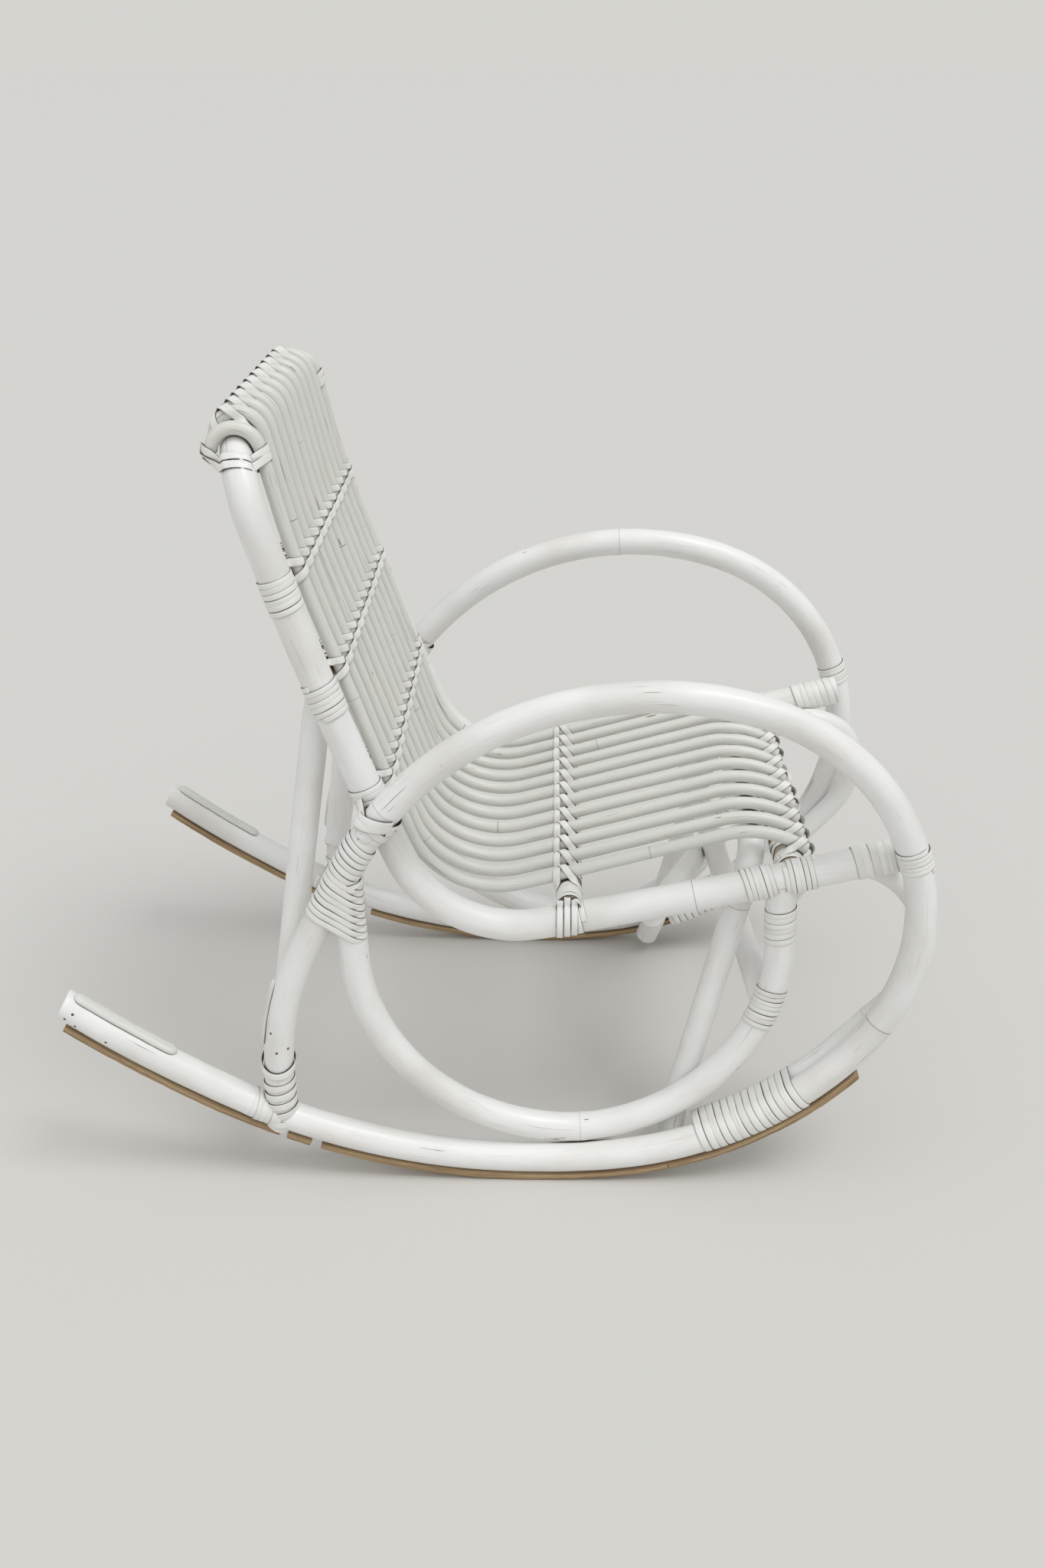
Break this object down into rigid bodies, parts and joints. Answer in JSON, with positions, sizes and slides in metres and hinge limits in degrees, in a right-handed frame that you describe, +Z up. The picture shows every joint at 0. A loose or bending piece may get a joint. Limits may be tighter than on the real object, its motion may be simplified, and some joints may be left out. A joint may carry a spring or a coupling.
{
  "type": "rocking chair",
  "caption": "Rocking chair of bent rattan poles painted white: round side hoops with rockers, a caned back and seat, and peel lashings at the joints.",
  "frame": {"origin": "on the floor, under the middle of the chair's bounding box", "axes": "+Z up, the sitter faces -Y, +X to the sitter's left"},
  "size_m": [0.5672, 0.9786, 0.8734],
  "materials": {
    "painted_pole": "white gloss paint on rattan",
    "painted_splint": "white gloss paint on split rattan",
    "peel": "white paint on rattan peel",
    "runner_wood": "worn bare wood"
  },
  "bodies": {
    "root": {"front_arch": "painted_pole", "hoop_back_frame": "painted_pole", "left_arm_joint_lashing": "peel", "left_cross_brace": "painted_pole", "left_cross_brace_wrap": "peel", "left_foot_lashing": "peel", "left_front_brace": "painted_pole", "left_front_joint_lashing": "peel", "left_front_rail_wrap": "peel", "left_front_runner_strip": "runner_wood", "left_leg_splint": "painted_splint", "left_loop_top_wrap": "peel", "left_lower_loop": "painted_pole", "left_middle_post_wrap": "peel", "left_middle_runner_strip": "runner_wood", "left_rear_joint_wrap": "peel", "left_rear_runner_strip": "runner_wood", "left_rocker_wrap": "peel", "left_seat_rail_wrap": "peel", "left_side_hoop": "painted_pole", "left_tail_splint": "painted_splint", "left_upper_post_wrap": "peel", "lower_back_bar": "painted_pole", "middle_back_bar": "painted_pole", "rear_arch": "painted_pole", "right_arm_joint_lashing": "peel", "right_cross_brace": "painted_pole", "right_cross_brace_wrap": "peel", "right_foot_lashing": "peel", "right_front_brace": "painted_pole", "right_front_joint_lashing": "peel", "right_front_rail_wrap": "peel", "right_front_runner_strip": "runner_wood", "right_leg_splint": "painted_splint", "right_loop_top_wrap": "peel", "right_lower_loop": "painted_pole", "right_middle_post_wrap": "peel", "right_middle_runner_strip": "runner_wood", "right_rear_joint_wrap": "peel", "right_rear_runner_strip": "runner_wood", "right_rocker_wrap": "peel", "right_seat_rail_wrap": "peel", "right_side_hoop": "painted_pole", "right_tail_splint": "painted_splint", "right_upper_post_wrap": "peel", "seat_bar": "painted_pole", "seat_cane_1": "painted_pole", "seat_cane_10": "painted_pole", "seat_cane_11": "painted_pole", "seat_cane_12": "painted_pole", "seat_cane_2": "painted_pole", "seat_cane_3": "painted_pole", "seat_cane_4": "painted_pole", "seat_cane_5": "painted_pole", "seat_cane_6": "painted_pole", "seat_cane_7": "painted_pole", "seat_cane_8": "painted_pole", "seat_cane_9": "painted_pole", "seat_front_bar": "painted_pole", "upper_back_bar": "painted_pole"}
  },
  "joints": []
}
